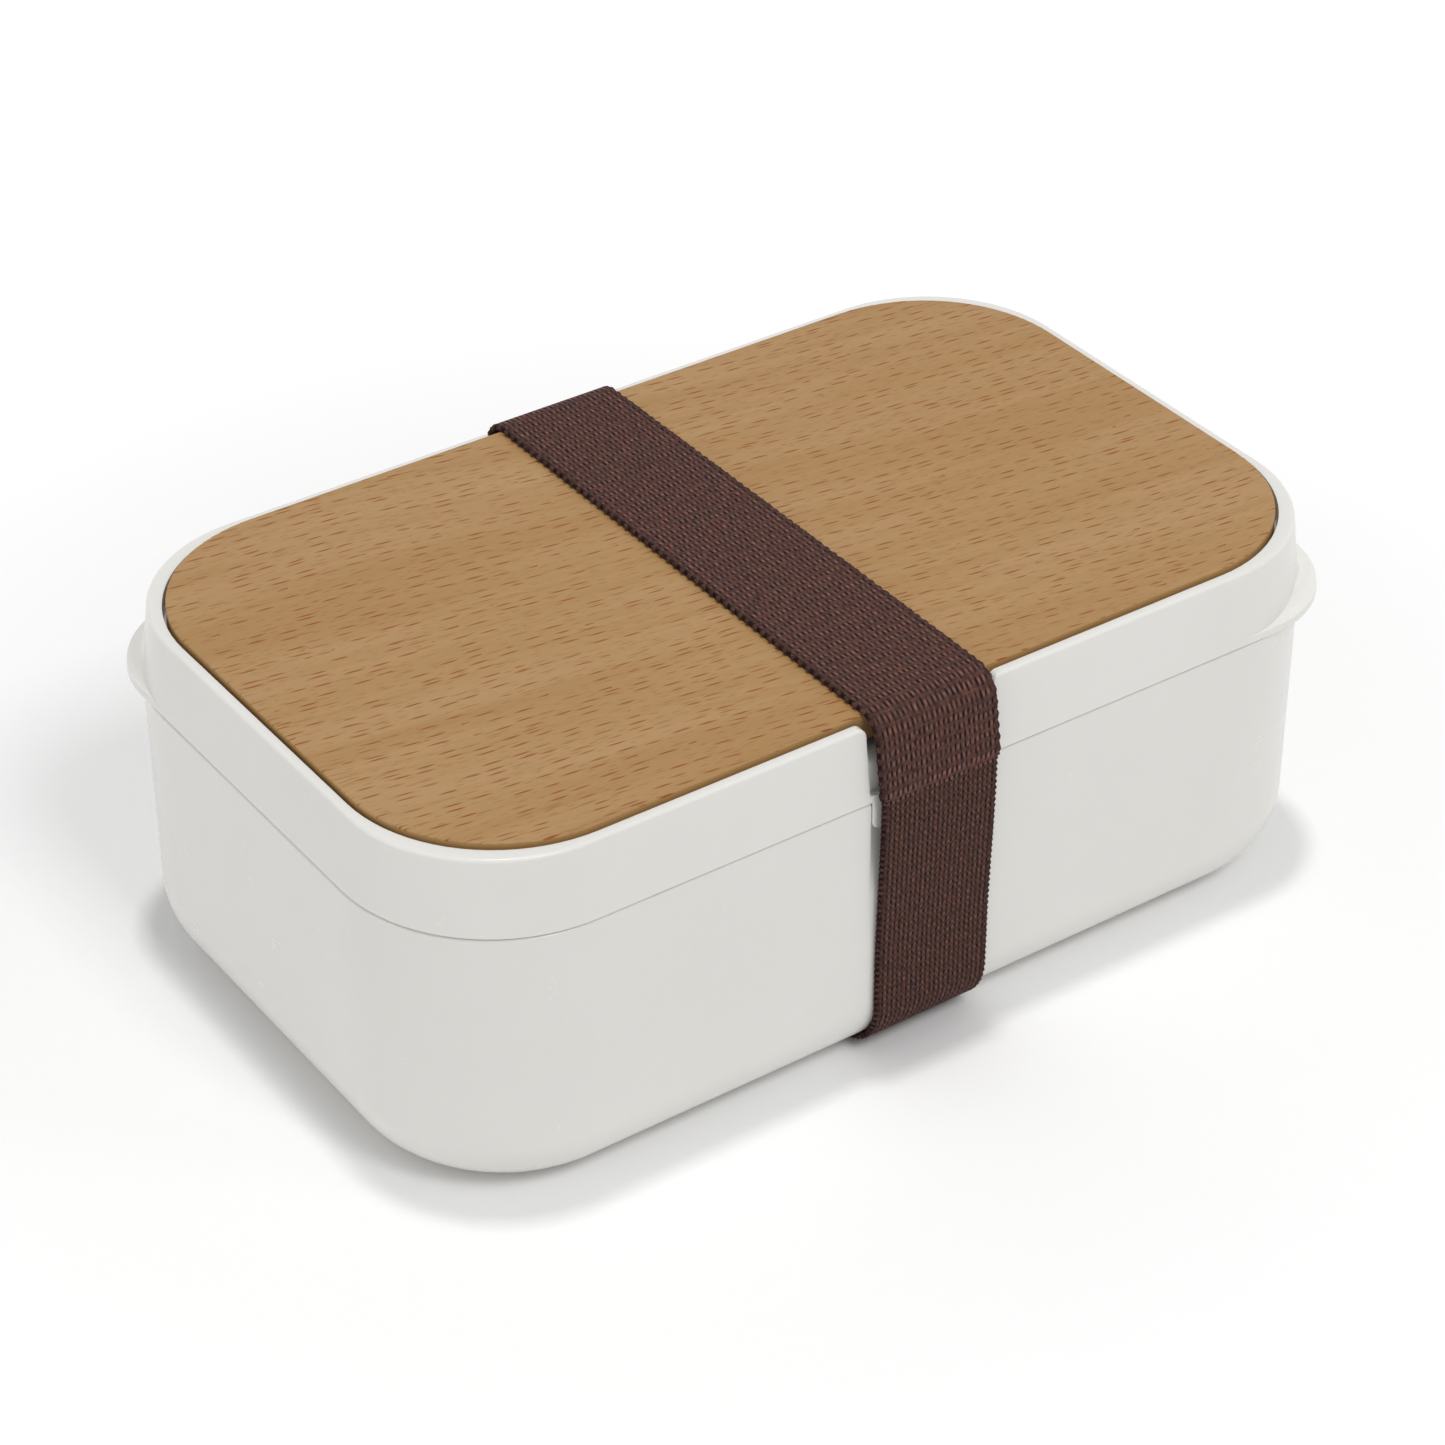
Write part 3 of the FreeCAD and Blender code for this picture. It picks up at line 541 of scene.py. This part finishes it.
def lower_route():
    """From the seam down past the tongue, along the wall and under the tray."""
    low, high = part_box("band_lower")
    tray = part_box("base_tray")[1]
    off_tongue = high.y - BAND_THICKNESS
    on_wall = tray.y + BAND_GAP
    return Route([
        (-off_tongue, high.z, 0.0),
        (-off_tongue, tray.z - TONGUE_DROP, BAND_SOFT),
        (-on_wall, SETTLE_HEIGHT, BAND_SOFT),
        (-on_wall, low.z + BAND_THICKNESS, BAND_TURN),
    ], outward=-1)


def points_of(piece):
    flat = np.empty(len(piece.data.vertices) * 3)
    piece.data.vertices.foreach_get("co", flat)
    return flat.reshape(-1, 3)


def set_points(piece, points):
    piece.data.vertices.foreach_set("co", points.ravel())
    piece.data.update()


def take_up(name):
    """The piece just added, under its own name."""
    piece = bpy.context.object
    piece.name = name
    piece.data.name = name
    return piece


def pick_edges(piece, wanted):
    """Select the edges whose two ends are both wanted, ready for edit mode."""
    points = points_of(piece)
    chosen = wanted(points)
    ends = np.empty(len(piece.data.edges) * 2, dtype=int)
    piece.data.edges.foreach_get("vertices", ends)
    pairs = chosen[ends.reshape(-1, 2)].all(axis=1)
    piece.data.vertices.foreach_set("select", np.zeros(len(points), dtype=bool))
    piece.data.polygons.foreach_set("select", np.zeros(len(piece.data.polygons), dtype=bool))
    piece.data.edges.foreach_set("select", pairs)
    piece.data.update()


def webbing(name, route, width, columns, floats):
    """A woven strip: dashes sink into its outer face, with plain sides and underside."""
    bpy.ops.object.select_all(action="DESELECT")
    bpy.ops.mesh.primitive_grid_add(
        x_subdivisions=columns * YARN_STEPS, y_subdivisions=floats * FLOAT_STEPS, size=1.0,
        location=(0.0, route.length / 2, 0.0),
    )
    strip = take_up(name)
    strip.scale = (width, route.length, 1.0)
    bpy.ops.object.transform_apply(location=True, rotation=False, scale=True)
    points = points_of(strip)
    weave = np.stack([(points[:, 0] / width + 0.5) * columns, points[:, 1] / route.length * floats], axis=1)
    points[:, 2] = BAND_THICKNESS - YARN_RELIEF * hollows(weave)
    set_points(strip, points)

    # The sides, the underside between them and the two ends
    pick_edges(strip, lambda at: np.abs(np.abs(at[:, 0]) - width / 2) < ROUTE_STEP)
    bpy.ops.object.mode_set(mode="EDIT")
    bpy.ops.mesh.select_mode(type="EDGE")
    bpy.ops.mesh.extrude_edges_move()
    bpy.ops.object.mode_set(mode="OBJECT")
    points = points_of(strip)
    sides = np.zeros(len(points), dtype=bool)
    strip.data.vertices.foreach_get("select", sides)
    points[sides, 2] = 0.0
    set_points(strip, points)
    bpy.ops.object.mode_set(mode="EDIT")
    bpy.ops.mesh.bridge_edge_loops()
    bpy.ops.object.mode_set(mode="OBJECT")
    for end in (0.0, route.length):
        pick_edges(strip, lambda at: np.abs(at[:, 1] - end) < ROUTE_STEP)
        bpy.ops.object.mode_set(mode="EDIT")
        bpy.ops.mesh.edge_face_add()
        bpy.ops.object.mode_set(mode="OBJECT")

    lay_flat_map(strip, (columns / width, floats / route.length), width)
    set_points(strip, route.wrap(points_of(strip)))
    tidy_faces(strip)
    return strip


def hollows(weave):
    """How deep the weave is at points counted in strands and floats: 1 in the middle of a dash."""
    boundary = np.round(weave[:, 0])
    aside = weave[:, 0] - boundary
    row = weave[:, 1] + DASH_STRAY * np.sin(boundary * DASH_STRAY_TURN)
    ahead = np.mod(row, 1) - 0.5
    return np.clip(1 - (aside / DASH_HALF_WIDTH) ** 2 - (ahead / DASH_HALF_LENGTH) ** 2, 0, 1)


def lay_flat_map(strip, scale, width):
    """A UV map that counts strands across and floats along the flat strip."""
    points = points_of(strip)
    corners = np.empty(len(strip.data.loops), dtype=int)
    strip.data.loops.foreach_get("vertex_index", corners)
    flat = np.stack([points[corners, 0] + width / 2, points[corners, 1]], axis=1) * scale
    strip.data.uv_layers.active.data.foreach_set("uv", flat.ravel())


def tidy_faces(piece):
    """Smooth shading, and faces that look outwards."""
    bpy.ops.object.select_all(action="DESELECT")
    piece.select_set(True)
    bpy.context.view_layer.objects.active = piece
    bpy.ops.object.mode_set(mode="EDIT")
    bpy.ops.mesh.select_all(action="SELECT")
    bpy.ops.mesh.normals_make_consistent(inside=False)
    bpy.ops.object.mode_set(mode="OBJECT")
    bpy.ops.object.shade_smooth_by_angle(angle=SMOOTH_ANGLE)


def edge_loops(name, route, half_width, pitch):
    """Yarn loops round both edges of the band."""
    count = int(route.length / pitch)
    middle = half_width + LOOP_PROUD - (LOOP_RING + LOOP_YARN) * LOOP_STRETCH
    bpy.ops.object.select_all(action="DESELECT")
    bpy.ops.mesh.primitive_torus_add(
        major_radius=LOOP_RING, minor_radius=LOOP_YARN,
        major_segments=LOOP_RING_STEPS, minor_segments=LOOP_YARN_STEPS,
        rotation=(math.pi / 2, 0.0, 0.0), location=(middle, pitch / 2, BAND_THICKNESS / 2),
    )
    loops = take_up(name)
    loops.scale = (LOOP_STRETCH, 1.0, LOOP_FILL * pitch / LOOP_YARN)
    bpy.ops.object.transform_apply(location=True, rotation=True, scale=True)
    row = loops.modifiers.new("row", "ARRAY")
    row.use_relative_offset = False
    row.use_constant_offset = True
    row.constant_offset_displace = (0.0, route.length / count, 0.0)
    row.count = count
    bpy.ops.object.modifier_apply(modifier="row")
    other = loops.modifiers.new("other_edge", "MIRROR")
    other.use_axis = (True, False, False)
    other.use_mirror_merge = False
    bpy.ops.object.modifier_apply(modifier="other_edge")
    set_points(loops, route.wrap(points_of(loops)))
    tidy_faces(loops)
    return loops


def band_length(node, route, float_length, loop_pitch, crown, loop_finish):
    """One length of elastic band between two bodies, drawn as a woven strip and edge loops in place of its
    part.
    """
    low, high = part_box(node)
    half_width = (high.x - low.x) / 2
    width = 2 * (half_width - SELVAGE)
    columns = round(width / YARN_PITCH)
    floats = round(route.length / float_length)
    strip = webbing(f"{node}_webbing", route, width, columns, floats)
    loops = edge_loops(f"{node}_edge_loops", route, half_width, loop_pitch)
    dress(strip, woven_elastic(f"{node}_weave", columns, floats, crown))
    dress(loops, loop_finish)
    for piece in (strip, loops):
        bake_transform(piece)
    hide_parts(node)


# Studio


def make_camera():
    """The photo's view of the box."""
    lens = bpy.data.cameras.new("camera")
    lens.lens = LENS_MM
    lens.sensor_width = SENSOR_MM
    camera = bpy.data.objects.new("camera", lens)
    bpy.context.scene.collection.objects.link(camera)
    level = math.cos(CAMERA_ELEVATION)
    look = Vector((
        -math.sin(CAMERA_AZIMUTH) * level, math.cos(CAMERA_AZIMUTH) * level, -math.sin(CAMERA_ELEVATION),
    ))
    camera.location = CAMERA_PLACE
    camera.rotation_mode = "QUATERNION"
    camera.rotation_quaternion = look.to_track_quat("-Z", "Y") @ Quaternion((0.0, 0.0, 1.0), CAMERA_ROLL)
    bpy.context.scene.camera = camera


def make_light():
    """A white room, a high lamp overhead and soft ones in front, at the front right and low on the left."""
    world = bpy.data.worlds.new("white_room")
    bpy.context.scene.world = world
    world.use_nodes = True
    room = Nodes(world.node_tree)
    background = room.tree.nodes["Background"]
    background.inputs["Color"].default_value = (1.0, 1.0, 1.0, 1.0)
    room.feed(background.inputs["Strength"], room.seen() * (MIRRORED - AMBIENT) + AMBIENT)
    for lamp in LAMPS:
        add_lamp(*lamp)


def add_lamp(name, place, size, watts):
    """A square lamp aimed at the box."""
    bpy.ops.object.light_add(type="AREA", location=place)
    lamp = bpy.context.object
    lamp.name = name
    lamp.data.shape = "SQUARE"
    lamp.data.size = size
    lamp.data.energy = watts
    lamp.rotation_euler = (Vector(LAMP_AIM) - lamp.location).to_track_quat("-Z", "Y").to_euler()


def make_floor():
    """A pale floor that keeps the box's shadow, painted darker near the box as painted shade and white
    further out.
    """
    bpy.ops.object.select_all(action="DESELECT")
    bpy.ops.mesh.primitive_plane_add(size=FLOOR_SIZE)
    floor = take_up("floor")
    finish = Finish("pale_floor")
    finish.tree.nodes.remove(finish.shader)
    away = finish.length(finish.place())
    # Camera rays see painted shade near the box, fading to white further out
    pale = finish.smooth(away, *FLOOR_FADE, FLOOR_SEEN_NEAR, FLOOR_SEEN_FAR)
    bright = finish.seen() * (pale - FLOOR_PALE) + FLOOR_PALE
    surface = finish.node("ShaderNodeBsdfDiffuse", {}, {"Color": finish.grey(bright)})
    finish.feed(finish.tree.nodes["Material Output"].inputs["Surface"], surface)
    floor.data.materials.append(finish.material)


bpy.context.scene.view_settings.view_transform = "Standard"
make_camera()
make_light()
make_floor()

plastic = moulded_plastic("satin_off_white", SATIN)
for node in ("base_tray", "lid_shell", "food_divider"):
    dress(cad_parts[node], plastic)
cutlery = moulded_plastic("polished_off_white", POLISHED)
for node in ("fork", "knife"):
    dress(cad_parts[node], cutlery)
dress(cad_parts["wood_cover"], oiled_beech())
dress(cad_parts["lid_seal"], soft_silicone())

loop_finish = edge_yarn()
# The upper length takes the lit copy of the yarn, the lower length the shaded copy
band_length(
    "band_upper", upper_route(), UPPER_FLOAT, UPPER_LOOP, UPPER_CROWN_LIT, loop_finish,
)
band_length(
    "band_lower", lower_route(), LOWER_FLOAT, LOWER_LOOP, LOWER_CROWN_SHADED, loop_finish,
)
